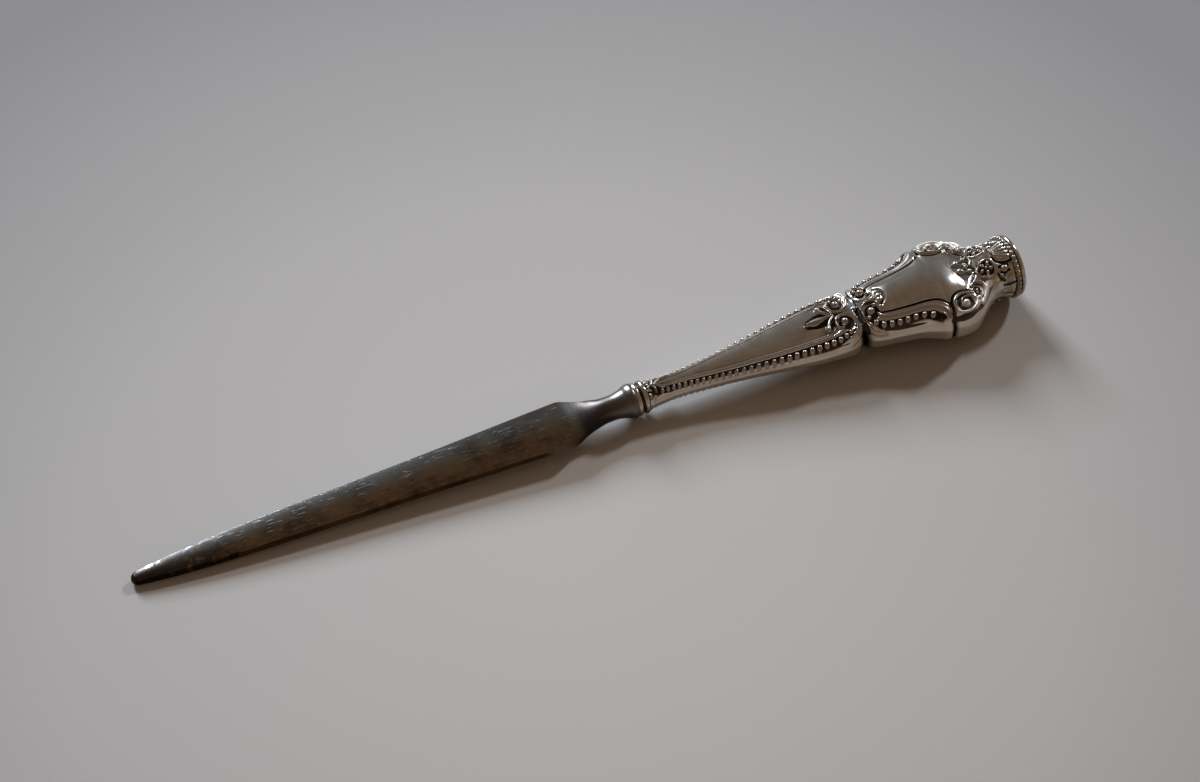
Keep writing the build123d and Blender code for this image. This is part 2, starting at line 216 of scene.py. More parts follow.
def with_radii(points, radii):
    """(x, y) points with a radius each."""
    return [(x, y, radius) for (x, y), radius in zip(points, radii)]


def arc(x, y, radius, start, end, thick):
    """Points on an arc, angles in degrees."""
    turns = np.radians(np.linspace(start, end, ARC_POINTS))
    return [(x + radius * math.cos(a), y + radius * math.sin(a), thick) for a in turns]


def inset_line(points, insets, radii):
    """Points moved in, with a radius; inset and radius run from their first to last value."""
    first, last = insets
    count = len(points) - 1
    moved = [(x, y - first - (last - first) * k / count) for k, (x, y) in enumerate(points)]
    return with_radii(moved, np.linspace(*radii, len(points)))


SHAFT_BEAD_LINE = [(108.9, 1.72), (110.6, 1.7), (113, 1.78), (116, 2.05), (120, 2.6), (125, 3.3),
                   (130, 3.95), (135, 4.6), (140, 5.15), (143.4, 5.45), (146.3, 5.55),
                   (148.0, 5.45), (149.3, 5.2), (150.3, 4.85), (151.2, 4.3), (151.75, 3.4)]
BULB_BEAD_LINE = [(155.0, 3.7), (156.1, 5.2), (157.7, 6.0), (159.3, 6.3), (160.8, 6.55),
                  (162.6, 6.7), (164.4, 6.85), (166.0, 7.2), (167.4, 7.85)]
FLOOR = 0.34                 # depth of the bead channels
SCROLL_FLOOR = 0.32
SHAFT_BEADS = 32             # along the whole line, with those that curl into the scroll
BEAD_LINE_STEP = 0.05


def along_line(points, pitches):
    """Places along a whole line, spaced in the proportion of the pitches."""
    path = curve(with_radius(points, 0), BEAD_LINE_STEP)[:, :2]
    run = np.concatenate([[0], np.cumsum(np.hypot(*np.diff(path, axis=0).T))])
    at = np.concatenate([[0], np.cumsum(pitches)])
    at *= run[-1] / at[-1]
    return np.interp(at, run, path[:, 0]), np.interp(at, run, path[:, 1])


def edge_line(start, end, inset, count):
    """Points along the handle's edge, moved in by an inset."""
    xs = np.linspace(start, end, count)
    return [(x, float(w) - inset) for x, w in zip(xs, half_width(xs))]


def mouth_ornament(r):
    """Small scrolls and leaves behind the mouth ring."""
    r.channel([(106.2, 1.0, 1.0), (109.0, 1.2, 1.1)], 0.2)
    r.ridge(arc(107.35, 1.95, 0.98, 20, 300, 0.24), 0.42, -0.1)
    r.dome(107.35, 1.95, 0.56, 0.5, 0.6, -0.15)
    r.dome(106.55, 0.55, 0.5, 0.48, 0.5, -0.1)
    r.dome(107.5, 0.35, 0.42, 0.42, 0.5, -0.1)
    r.ridge([(108.3, 0.0, 0.2), (108.75, 0.7, 0.3), (108.85, 1.5, 0.22)], 0.45, -0.1)
    r.ridge([(108.9, 0.0, 0.22), (109.6, 0.45, 0.28), (110.6, 0.95, 0.2), (112.5, 1.15, 0.14)],
            0.4, -0.05)


def shaft_rows(r):
    """The shaft's bead row in its channel, with the rims on both sides."""
    line = SHAFT_BEAD_LINE
    radius = [0.46, 0.48, 0.54, 0.6, 0.68, 0.76, 0.84, 0.88, 0.92, 0.92, 0.88, 0.84, 0.8, 0.76,
              0.72, 0.66]
    r.channel(with_radii(line, 0.92 * np.array(radius)), FLOOR)
    straight = line[:11]
    r.ridge(inset_line(straight, (0.64, 1.2), (0.12, 0.17)), 0.11)
    r.ridge(inset_line(straight, (0.9, 1.64), (0.1, 0.15)), 0.08)
    r.groove(inset_line(straight, (1.1, 1.94), (0.12, 0.2)), 0.07)
    r.ridge(with_radius(edge_line(107.5, 149.4, 0.2, 30), 0.16, 0.24), 0.12)
    pitches = smooth([(0, 1.12), (7, 1.2), (13, 1.42), (17, 1.52), (24, 1.5), (27, 1.35),
                      (29, 1.0), (30, 0.9)], np.arange(SHAFT_BEADS - 1))
    xs, ys = along_line(line, pitches)
    beads = smooth([(0, 0.46), (8, 0.52), (16, 0.62), (26, 0.64), (29, 0.52), (31, 0.4)],
                   np.arange(SHAFT_BEADS))
    for x, y, bead in zip(xs, ys, beads):
        r.dome(x, y, bead * 1.1, bead, FLOOR + 0.38 * bead / 0.6, -FLOOR)


def hip_scroll(r):
    """The scroll that closes the shaft's row, with its eye, and the fleur-de-lis between."""
    r.channel([(150.4, 2.5, 1.75), (150.6, 2.8, 1.8)], SCROLL_FLOOR)
    rim = [(149.2, 6.75), (150.4, 6.45), (151.5, 5.9), (152.4, 5.1), (152.8, 4.1), (152.75, 2.8),
           (152.3, 1.55), (151.4, 0.75), (150.2, 0.5), (149.1, 0.85), (148.4, 1.65),
           (148.25, 2.7), (148.8, 3.4), (149.6, 3.5)]
    width = [0.22, 0.22, 0.22, 0.22, 0.23, 0.23, 0.24, 0.25, 0.27, 0.3, 0.33, 0.32, 0.27, 0.2]
    r.ridge(with_radii(rim, width), 0.8, -SCROLL_FLOOR)
    r.dome(150.15, 2.35, 0.92, 0.88, 1.25, -SCROLL_FLOOR)
    r.ridge([(146.6, 4.45, 0.14), (147.8, 4.25, 0.17), (148.8, 3.85, 0.18), (149.4, 3.6, 0.15)],
            0.26)
    # leaves
    r.groove([(143.0, 0.72, 0.4), (145.0, 1.2, 0.62), (146.6, 1.3, 0.5)], 0.3)
    r.groove([(147.2, 2.9, 0.5), (147.9, 1.9, 0.5), (148.1, 1.0, 0.4)], 0.26)
    r.ridge([(142.4, 0, 0.1), (143.2, 0, 0.42), (144.4, 0, 0.82), (145.6, 0, 0.72),
             (146.8, 0, 0.4), (148.4, 0, 0.26)], 0.62, -0.05, power=0.9)
    r.ridge([(148.5, 0.2, 0.18), (147.6, 0.85, 0.28), (146.9, 1.7, 0.38), (146.45, 2.6, 0.48)],
            0.5, -0.05)
    r.dome(146.4, 2.8, 0.55, 0.55, 0.66, -0.05)


def waist(r):
    """The trench at the waist, with a knob in its middle and a leaf towards each side."""
    r.channel([(153.45, 0, 0.62), (153.45, 2, 0.6), (153.45, 4, 0.66), (153.5, 5.4, 0.9),
               (153.55, 7.5, 1.2)], 1.0, 0.3)
    r.ridge([(153.4, 3.9, 0.14), (153.42, 4.6, 0.3), (153.45, 5.6, 0.38)], 0.55, -0.95, power=0.7)
    r.dome(153.3, 0.0, 0.62, 0.72, 1.25, -0.95, power=0.4)


def bulb_scroll(r):
    """The bulb's long scroll: rim, bead row in its channel, eye and the curled end."""
    r.channel([(155.8, 2.7, 1.5), (156.1, 3.0, 1.5)], SCROLL_FLOOR)
    line = BULB_BEAD_LINE
    r.channel(with_radius(line, 0.72), FLOOR)
    r.channel([(167.4, 7.85, 0.84), (168.5, 8.6, 0.8), (169.3, 9.15, 0.7)], FLOOR + 0.08)
    groove = [(157.2, 2.75), (157.7, 3.55), (160.0, 4.05), (163.7, 4.5), (167.4, 4.95),
              (169.6, 5.65), (171.2, 7.0), (171.7, 7.7)]
    r.groove(with_radius(groove, 0.26, 0.4), 0.4)
    inner = [(157.1, 3.5), (157.5, 4.25), (159.0, 4.95), (161.6, 5.4), (164.3, 5.65),
             (166.9, 6.05), (168.9, 6.95), (170.2, 8.2), (170.75, 9.4), (170.4, 10.25)]
    width = (0.18, 0.28, 0.36, 0.4, 0.42, 0.44, 0.44, 0.36, 0.28, 0.24)
    r.ridge(with_radii(inner, width), 0.1)
    edge = [(157.5, 0.75), (156.7, 0.35), (155.6, 0.3), (154.6, 1.0), (154.1, 2.0),
            (153.95, 3.2), (154.1, 4.5), (154.8, 5.7), (156.0, 6.5), (157.6, 6.95)]
    width = (0.16, 0.2, 0.22, 0.24, 0.24, 0.24, 0.23, 0.23, 0.23, 0.24)
    r.ridge(with_radii(edge, width), 0.72, -0.25)
    r.ridge(with_radius(edge_line(157.2, 170.2, 0.26, 20), 0.24, 0.28), 0.16)
    r.dome(155.85, 2.6, 0.95, 0.85, 1.2, -SCROLL_FLOOR)
    r.dome(156.95, 1.65, 0.42, 0.42, 0.72, -0.1)
    xs, ys = along_line(line, np.linspace(1.5, 1.66, len(line) - 1))
    beads = [0.52] + [0.66] * (len(xs) - 1)
    for x, y, bead in zip(xs, ys, beads):
        r.dome(x, y, bead * 1.06, bead * 0.92, FLOOR + 0.4, -FLOOR)
    r.ridge([(168.7, 7.9, 0.12), (169.3, 8.4, 0.15), (169.75, 9.1, 0.17), (169.65, 9.65, 0.17),
             (169.1, 9.6, 0.14)], 0.5, -FLOOR)


def panel(r):
    """The shaft's panel is flatter than the crown; the shield panel is a low cushion."""
    sunk = smooth([(112, 0.0), (118, 0.09), (130, 0.22), (140, 0.3), (147, 0.16), (151, 0.0)], r.x)
    border = smooth([(112, 0.9), (120, 1.5), (130, 2.5), (140, 3.5), (147, 3.9)], r.x)
    r.h -= sunk * np.clip(1 - (r.y / border) ** 2, 0, None) * (r.x < 151) * (r.x > 112)
    shield_x, shield_half = 166.8, 9.7
    length = np.clip(1 - np.abs((r.x - shield_x) / shield_half) ** 6, 0, None)
    reach = smooth([(158, 3.3), (164, 4.4), (168, 5.4), (171, 6.6), (174, 5.9), (177, 4.7)], r.x)
    r.h += 0.48 * length * ease(1 - (r.y / reach) ** 2, 0, 1)


def palmette(r):
    """The fan of lobes between the bulb's two eyes."""
    r.groove([(159.7, 0, 0.6), (159.4, 1.2, 0.6), (158.5, 2.0, 0.5)], 0.26)
    centre_x, radius = 157.6, 1.42
    for turn, size in ((0, 0.56), (44, 0.52), (88, 0.46)):
        a = math.radians(turn)
        x, y = centre_x + radius * math.cos(a), radius * math.sin(a)
        r.dome(x, y, size * 1.1, size * 0.78, 0.6, 0.0, turn)
    r.dome(157.45, 0.0, 0.6, 0.5, 0.45)
    r.ridge([(154.9, 0, 0.14), (156.2, 0, 0.2), (157.2, 0, 0.3)], 0.35)


def notch(r):
    """The cleft between the bulb's scroll and the big volute."""
    r.groove([(171.4, 7.5, 0.36), (171.35, 9.0, 0.42), (171.3, 11.8, 0.5)], 0.6, power=1.0)


def big_volute(r):
    """The big volute and the small scroll that springs from it."""
    r.channel([(174.6, 8.2, 1.95), (174.75, 8.2, 1.95)], 0.55, 0.2)
    r.groove(with_radius([(171.75, 7.2), (172.5, 6.25), (173.7, 5.6), (175.1, 5.5),
                          (176.2, 5.8)], 0.3), 0.4)
    spiral = [(177.6, 6.5), (176.7, 6.5), (175.5, 6.2), (174.2, 6.2), (173.0, 6.7),
              (172.25, 7.5), (172.1, 8.5), (172.6, 9.4), (173.6, 9.8), (174.9, 9.85),
              (176.1, 9.5), (176.95, 8.8), (177.2, 7.9), (176.6, 7.2), (175.6, 7.0),
              (174.5, 7.15), (173.75, 7.8), (173.7, 8.5)]
    width = (0.18, 0.28, 0.34, 0.38, 0.4, 0.38, 0.34, 0.28, 0.25, 0.25, 0.26, 0.27, 0.27, 0.25,
             0.23, 0.22, 0.22, 0.2)
    r.ridge(with_radii(spiral, width), 0.9, -0.52)
    r.dome(174.65, 8.3, 0.86, 0.8, 1.3, -0.52)
    # the small scroll
    r.channel([(178.2, 6.4, 1.0), (178.3, 7.4, 0.9)], 0.4)
    r.ridge([(177.5, 5.1, 0.2), (178.1, 4.55, 0.26), (179.0, 4.45, 0.32), (179.9, 5.2, 0.36),
             (180.1, 6.4, 0.36), (179.6, 7.5, 0.34), (178.7, 8.4, 0.28), (177.9, 8.9, 0.2)],
            0.72, -0.1)
    r.ridge([(178.5, 5.5, 0.16), (179.1, 5.9, 0.19), (179.15, 6.9, 0.19), (178.7, 7.7, 0.15)],
            0.5, -0.25)
    r.dome(178.1, 6.4, 0.48, 0.46, 0.85, -0.35)
    r.dome(177.95, 7.95, 0.5, 0.44, 0.66, -0.2)
    r.dome(177.0, 5.8, 0.36, 0.32, 0.42, -0.1)


def buds(r):
    """Buds over the panel, the ridge that closes it, the blossom and the leaf beside them."""
    r.groove([(176.3, 0.4, 0.7), (177.6, 1.9, 0.7), (179.3, 2.4, 0.5)], 0.26)
    r.ridge([(176.6, 5.45, 0.22), (177.95, 3.75, 0.26), (179.4, 2.05, 0.24)], 0.18)
    r.groove([(177.05, 5.75, 0.24), (178.45, 4.05, 0.26), (179.85, 2.55, 0.22)], 0.12)
    r.dome(177.1, 1.15, 0.98, 0.74, 0.88, -0.05, 35)
    r.dome(178.9, 1.6, 0.68, 0.58, 0.74)
    r.dome(178.6, 0.3, 0.64, 0.46, 0.7)
    r.ridge([(179.7, 0.0, 0.22), (180.3, 0.7, 0.24), (180.35, 1.7, 0.22), (180.0, 2.8, 0.16)], 0.4)
    r.channel([(182.1, 2.5, 1.75), (182.3, 2.6, 1.75)], 0.2)
    r.ridge(arc(182.3, 2.6, 1.75, -160, 130, 0.24), 0.42, -0.12)
    blossom_x, blossom_y, petal = 182.15, 2.55, 0.95
    for turn in range(20, 380, 72):
        a = math.radians(turn)
        r.dome(blossom_x + petal * math.cos(a), blossom_y + petal * math.sin(a), 0.56, 0.4, 0.62,
               -0.15, turn)
    r.dome(blossom_x, blossom_y, 0.36, 0.36, 0.7, -0.15)
    r.ridge([(180.6, 5.75, 0.16), (180.45, 6.8, 0.2), (180.2, 7.6, 0.15)], 0.36)
    r.ridge([(183.2, 5.25, 0.2), (181.8, 6.4, 0.22), (180.3, 7.65, 0.15)], 0.36)


def body_relief(x, y):
    """All relief of the flat part of the handle."""
    r = Relief(x, y)
    for draw in (panel, shaft_rows, hip_scroll, bulb_scroll, palmette, notch, big_volute, buds,
                 waist, mouth_ornament):
        draw(r)
    return r.h


def flare_relief(x, around):
    """Relief of the round flare, over x and the distance round it from the top."""
    r = Relief(x, around)
    # a fan leaf on top
    r.dome(186.2, 0, 1.5, 1.9, 0.34, power=0.8)
    for tip in (0.0, 1.0, 1.9):
        r.ridge([(185.0, tip * 0.35, 0.26), (186.3, tip * 0.7, 0.4), (187.6, tip, 0.42)],
                0.28, 0.2)
    r.groove([(184.2, 0.9, 0.3), (184.8, 2.0, 0.4), (186.2, 2.75, 0.45), (187.7, 2.9, 0.3)], 0.45)
    # a bud in a dark hollow
    r.groove([(185.0, 3.4, 0.5), (186.8, 3.4, 0.5)], 0.3)
    r.groove([(185.1, 4.6, 0.45), (186.8, 4.7, 0.45)], 0.3)
    r.dome(185.9, 3.95, 0.85, 0.75, 0.62, -0.1)
    # a smooth long leaf that turns over the rim, a knob at its foot
    r.dome(186.6, 6.2, 1.2, 1.35, 0.34, -0.02, power=0.8)
    r.groove([(184.2, 4.6, 0.4), (184.6, 5.6, 0.5), (185.4, 6.5, 0.4)], 0.2)
    r.dome(184.9, 5.15, 0.5, 0.48, 0.6, -0.1)
    r.groove([(185.2, 7.5, 0.4), (186.6, 7.8, 0.5), (187.7, 7.8, 0.4)], 0.24)
    # a leaf on the seam, and the line in front of the beads
    r.dome(186.2, 9.27, 1.4, 0.85, 0.4, power=0.8)
    r.groove([(187.8, 0, 0.2), (187.8, 5, 0.2), (187.8, 10, 0.2)], 0.16)
    return r.h


# ---- meshes ----
STRIDE = 8                   # the unseen inner wall has every eighth point of the outer one
FLARE_RELIEF = (183.6, 184.4)           # where the flare's relief takes over
STRIKE = 0.5                 # how far the relief leans from the surface's normal to upright
STRIKE_ENDS = (183.0, 184.4)
# the relief fades towards the seam, over these shares of the way up: above the seam, under it
RELIEF_FADES = ((0.06, 0.2), (0.2, 0.33))
# painted shade in the waist and the notch: place, spread, and |y| from which it lies there
PAINTED_SHADE_PLACES = ((WAIST_X, 1.0, 0.9), (NOTCH_X, 0.45, 9.4))
PAINTED_SHADE = 0.36
RECESS_BLUR, PAINTED_SHADE_BLUR, WALL_BLUR = (9, 7), (3, 3), (2, 2)     # grid steps along and across
# how far up from the seam the band is rubbed and painted pale as a reflection, and how much
# farther by the big volute
RUB_AND_SHEEN_REACH, RUB_AND_SHEEN_FADE, VOLUTE_REACH = 0.17, 0.04, 0.17
VOLUTE_SIDE, RUB_AND_SHEEN_ENDS = (171, 174), (181.5, 184)
PAINTED_SHADE_SPARED = 4              # where the painted shade lies, the band is not rubbed or painted pale
ROUND_POINTS = 144           # points round a turned piece


def to_world(points):
    """Places along the tool's axis, in mm, as points of the frame in metres."""
    along, across, up = (np.array(v[:]) for v in (ALONG, ACROSS, UP))
    mm = points[..., :1] * along + points[..., 1:2] * across + points[..., 2:] * up
    return (np.array(TIP[:]) + mm * MM).reshape(-1, 3)


def mesh_piece(name, points, faces, finish, replaces, marks=None):
    """A piece of the object, in tool mm, that rides on its body and stands for CAD nodes."""
    mesh = bpy.data.meshes.new(name)
    mesh.from_pydata(to_world(points).tolist(), [], faces)
    mesh.materials.append(finish[1])
    mesh.shade_smooth()
    for mark, values in (marks or {}).items():
        layer = mesh.attributes.new(mark, "FLOAT", "POINT")
        layer.data.foreach_set("value", np.asarray(values, np.float32).ravel())
    mesh.validate()
    piece = bpy.data.objects.new(name, mesh)
    bpy.context.collection.objects.link(piece)
    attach(piece, BODY)
    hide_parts(*replaces)


def quads(ids):
    """Faces over a grid of point numbers."""
    return np.stack([ids[:-1, :-1], ids[1:, :-1], ids[1:, 1:], ids[:-1, 1:]], -1).reshape(-1, 4)


def base_surface(x, u, fall, bulge):
    """A smooth half of the handle, drawn upwards: u runs from the seam at +y, over it, to -y."""
    w, top, band = half_width(x), smooth(CROWN_HEIGHT, x), smooth(BAND_HEIGHT, x)
    side = np.sign(0.5 - u)
    v = 1 - np.abs(2 * u - 1)                   # 0 at a seam, 1 at the top
    b = np.clip(v / BAND_SHARE, 0, 1)           # 0 to 1 up the band
    c = np.clip((v - BAND_SHARE) / (1 - BAND_SHARE), 0, 1)      # from the band to the top
    edge = w - bulge * band
    on_band = v < BAND_SHARE
    y = np.where(on_band, edge + (w - edge) * (1 - b ** BAND_ROUNDING), edge * (1 - c))
    bend = np.clip(1 - (1 - c) ** 2, 1e-9, 1) ** (smooth(CROWN_FULLNESS, x) + fall)
    z = np.where(on_band, band * b, band + (top - band) * bend)
    turned = v * math.pi / 2
    m = ease(x, *TURNS_ROUND)
    y = y + (w * np.cos(turned) - y) * m
    z = z + (w * np.sin(turned) - z) * m
    return side * y, z


def box_blur(field, rows, cols, times=3):
    """A soft average of a grid."""
    for _ in range(times):
        for axis, size in ((0, rows), (1, cols)):
            pad = [(0, 0), (0, 0)]
            pad[axis] = (size + 1, size)
            total = np.cumsum(np.pad(field, pad, mode="edge"), axis=axis)
            span = 2 * size + 1
            upper = np.take(total, range(span, total.shape[axis]), axis=axis)
            lower = np.take(total, range(0, total.shape[axis] - span), axis=axis)
            field = (upper - lower) / span
    return field


def shell_grid(xs, columns, upper):
    """Surface, normals and relief of half the handle between stations, as an upper half."""
    fall, bulge, fades = ((0, BAND_BULGE[0], RELIEF_FADES[0]) if upper
                          else (UNDERSIDE_FALL, BAND_BULGE[1], RELIEF_FADES[1]))
    x, u = np.meshgrid(xs, np.linspace(0, 1, columns), indexing="ij")
    y, z = base_surface(x, u, fall, bulge)
    along = np.stack([np.gradient(a, axis=0) for a in (x, y, z)], -1)
    over = np.stack([np.gradient(a, axis=1) for a in (x, y, z)], -1)
    normal = np.cross(over, along)
    normal /= np.linalg.norm(normal, axis=-1, keepdims=True) + 1e-12
    height = body_relief(x, np.abs(y)) * ease(1 - np.abs(2 * u - 1), *fades)
    if xs[-1] > FLARE_RELIEF[0]:
        on_flare = ease(x, *FLARE_RELIEF)
        around = np.arctan2(np.abs(y), z) * half_width(x)
        height = height * (1 - on_flare) + flare_relief(x, around) * on_flare
    return x, y, z, normal, height


def silver_marks(x, y, height):
    """Marks for the silver: how deep a place lies in the relief, with painted shade added in the
    waist and the notch, and how far it is rubbed dull and painted pale.
    """
    # painted shade: the waist trench and the notch are darkened like the tarnished hollows
    painted_shade = sum(PAINTED_SHADE * np.exp(-((x - place) / spread) ** 2) * (np.abs(y) > start)
               for place, spread, start in PAINTED_SHADE_PLACES)
    recess = box_blur(height, *RECESS_BLUR) - height + box_blur(painted_shade, *PAINTED_SHADE_BLUR)
    side_share = 1 - np.abs(np.linspace(-1, 1, x.shape[1]))[None] + 0 * x
    # the band near the seam is rubbed rougher, and painted pale as a reflection of the lit ground
    reach = RUB_AND_SHEEN_REACH + VOLUTE_REACH * ease(x, *VOLUTE_SIDE)
    rubbed_and_sheen = (1 - ease(side_share, reach, reach + RUB_AND_SHEEN_FADE)) * (1 - ease(x, *RUB_AND_SHEEN_ENDS))
    rubbed_and_sheen *= 1 - np.clip(painted_shade * PAINTED_SHADE_SPARED, 0, 1)
    return recess, rubbed_and_sheen


def close_ends(grid, xs):
    """Puts a grid's borders on the seam's plane and on its first and last station."""
    grid[:, (0, -1), 2] = 0
    grid[0, :, 0], grid[-1, :, 0] = xs[0], xs[-1]


def shell_faces(outer, inner):
    """Faces of the outer and the inner wall, and of the edges that join them."""
    faces = quads(outer).tolist() + quads(inner)[:, ::-1].tolist()
    for k in range(inner.shape[0] - 1):
        fine, coarse = slice(k * STRIDE, (k + 1) * STRIDE + 1), slice(k, k + 2)
        faces.append([*outer[fine, 0][::-1].tolist(), *inner[coarse, 0].tolist()])
        faces.append([*outer[fine, -1].tolist(), *inner[coarse, -1][::-1].tolist()])
    for k in range(inner.shape[1] - 1):
        fine, coarse = slice(k * STRIDE, (k + 1) * STRIDE + 1), slice(k, k + 2)
        faces.append([*outer[0, fine].tolist(), *inner[0, coarse][::-1].tolist()])
        faces.append([*outer[-1, fine][::-1].tolist(), *inner[-1, coarse].tolist()])
    return faces


def shell_piece(name, xs, columns, finish, node, upper):
    """One stretch of one half of the handle as a thin closed shell."""
    x, y, z, normal, height = shell_grid(xs, columns, upper)
    surface = np.stack([x, y, z], -1)
    lean = STRIKE * (1 - ease(x, *STRIKE_ENDS))
    struck = normal + np.array([0, 0, 1]) * lean[..., None]
    struck /= np.linalg.norm(struck, axis=-1, keepdims=True)
    outer = surface + struck * height[..., None]
    close_ends(outer, xs)
    depth = WALL - box_blur(np.minimum(height, 0), *WALL_BLUR, times=1)
    inner = (surface - normal * depth[..., None])[::STRIDE, ::STRIDE]
    inner[..., 2] = np.maximum(inner[..., 2], 0)
    close_ends(inner, xs)
    outer_ids = np.arange(x.size).reshape(x.shape)
    inner_ids = x.size + np.arange(inner[..., 0].size).reshape(inner.shape[:2])
    faces = shell_faces(outer_ids, inner_ids)
    points = np.concatenate([outer.reshape(-1, 3), inner.reshape(-1, 3)])
    if upper:
        faces = [face[::-1] for face in faces]
    else:
        points[:, 2] *= -1
    unseen = np.zeros(inner_ids.size)
    marks = {mark: np.concatenate([values.ravel(), unseen])
             for mark, values in zip(("recess", "rub_and_sheen"), silver_marks(x, y, height))}
    mesh_piece(name, points, faces, finish, [node], marks)


def lofted(name, rings, finish, replaces, marks=None):
    """A closed piece through rings of points, (rows, around, 3) in tool mm."""
    rows, count = rings.shape[:2]
    ids = np.arange(rows * count).reshape(rows, count)
    nxt = np.roll(ids, -1, axis=1)
    faces = np.stack([ids[:-1], nxt[:-1], nxt[1:], ids[1:]], -1).reshape(-1, 4).tolist()
    faces += [ids[0][::-1].tolist(), ids[-1].tolist()]
    mesh_piece(name, rings.reshape(-1, 3), faces, finish, replaces, marks)


def turned_piece(name, profile, step, finish, node, recess):
    """A closed turned piece from (x, radius) points, rounded, with its (x, recess) marks."""
    path = curve([(x, r, 0) for x, r in profile], step)[:, :2]
    angle = np.linspace(0, 2 * math.pi, ROUND_POINTS, endpoint=False)
    x, r = path[:, :1], path[:, 1:]
    rings = np.stack([x + 0 * angle, r * np.cos(angle), r * np.sin(angle)], -1)
    depth = np.interp(path[:, 0], *zip(*recess))
    lofted(name, rings, finish, [node], {"recess": np.repeat(depth, ROUND_POINTS)})


# ---- materials ----
# where the steel changes, in metres along the frame's x and y
TIP_STAINS, NECK_STARTS, BOLSTER_LIP = (-0.085, -0.066), (-0.0075, -0.0015), 0.0095
# across the blade, where the painted brown reflection of the near half turns into the painted grey
# one of the far half
FAR_HALF = (0.0006, 0.0040)


class Nodes:
    """Adds nodes to a tree in short calls; each call gives the socket with its result."""

    def __init__(self, tree):
        self.tree = tree

    def link(self, source, target):
        """Joins a result to an input."""
        self.tree.links.new(source, target)

    def add(self, kind, inputs, output=0, **settings):
        """A node with settings, its inputs set to values or linked to sockets."""
        node = self.tree.nodes.new(kind)
        for key, value in settings.items():
            setattr(node, key, value)
        for key, value in inputs.items():
            if isinstance(value, bpy.types.NodeSocket):
                self.link(value, node.inputs[key])
            else:
                node.inputs[key].default_value = value
        return node.outputs[output]

    def place(self, scale=(1, 1, 1), rotation=(0, 0, 0)):
        """The object's own coordinates, in metres, stretched and turned."""
        coords = self.add("ShaderNodeTexCoord", {}, "Object")
        return self.add("ShaderNodeMapping", {"Vector": coords, "Scale": scale,
                                              "Rotation": rotation})

    def axis(self, vector, letter):
        """One axis of a vector."""
        return self.add("ShaderNodeSeparateXYZ", {"Vector": vector}, letter)

    def attribute(self, mark):
        """A mark of the mesh's points."""
        return self.add("ShaderNodeAttribute", {}, "Fac", attribute_name=mark)

    def noise(self, place, scale, detail, roughness=0.5):
        """Cloudy noise."""
        return self.add("ShaderNodeTexNoise", {"Vector": place, "Scale": scale, "Detail": detail,
                                               "Roughness": roughness})

    def math(self, operation, a, b=0.0):
        """A sum, product or the like."""
        return self.add("ShaderNodeMath", {0: a, 1: b}, operation=operation)

    def multiply_add(self, a, b, c):
        """a * b + c."""
        return self.add("ShaderNodeMath", {0: a, 1: b, 2: c}, operation="MULTIPLY_ADD")

    def spread(self, value, low, high, to_low=0.0, to_high=1.0, kind="LINEAR"):
        """A value between low and high spread over another range."""
        return self.add("ShaderNodeMapRange", {"Value": value, "From Min": low, "From Max": high,
                                               "To Min": to_low, "To Max": to_high},
                        interpolation_type=kind)

    def ramp(self, factor, stops):
        """A colour ramp over rising stops of (position, colour)."""
        node = self.tree.nodes.new("ShaderNodeValToRGB")
        self.link(factor, node.inputs["Fac"])
        elements = node.color_ramp.elements
        elements[0].position, elements[1].position = stops[0][0], stops[-1][0]
        for position, _ in stops[1:-1]:
            elements.new(position)
        for element, (_, colour) in zip(elements, stops):
            element.color = (*colour, 1)
        return node.outputs["Color"]

    def mix(self, factor, below, above, blend="MIX"):
        """One colour over another, which is a socket or three numbers."""
        above = above if isinstance(above, bpy.types.NodeSocket) else (*above, 1)
        return self.add("ShaderNodeMix", {"Factor": factor, 6: below, 7: above}, 2,
                        data_type="RGBA", blend_type=blend)

    def bump(self, height, strength, distance):
        """Normals from a height."""
        return self.add("ShaderNodeBump", {"Height": height, "Strength": strength,
                                           "Distance": distance})


def new_material(name):
    """A material, the inputs of its shader and its nodes."""
    material = bpy.data.materials.new(name)
    material.use_nodes = True
    tree = material.node_tree
    return material, tree.nodes["Principled BSDF"].inputs, Nodes(tree)


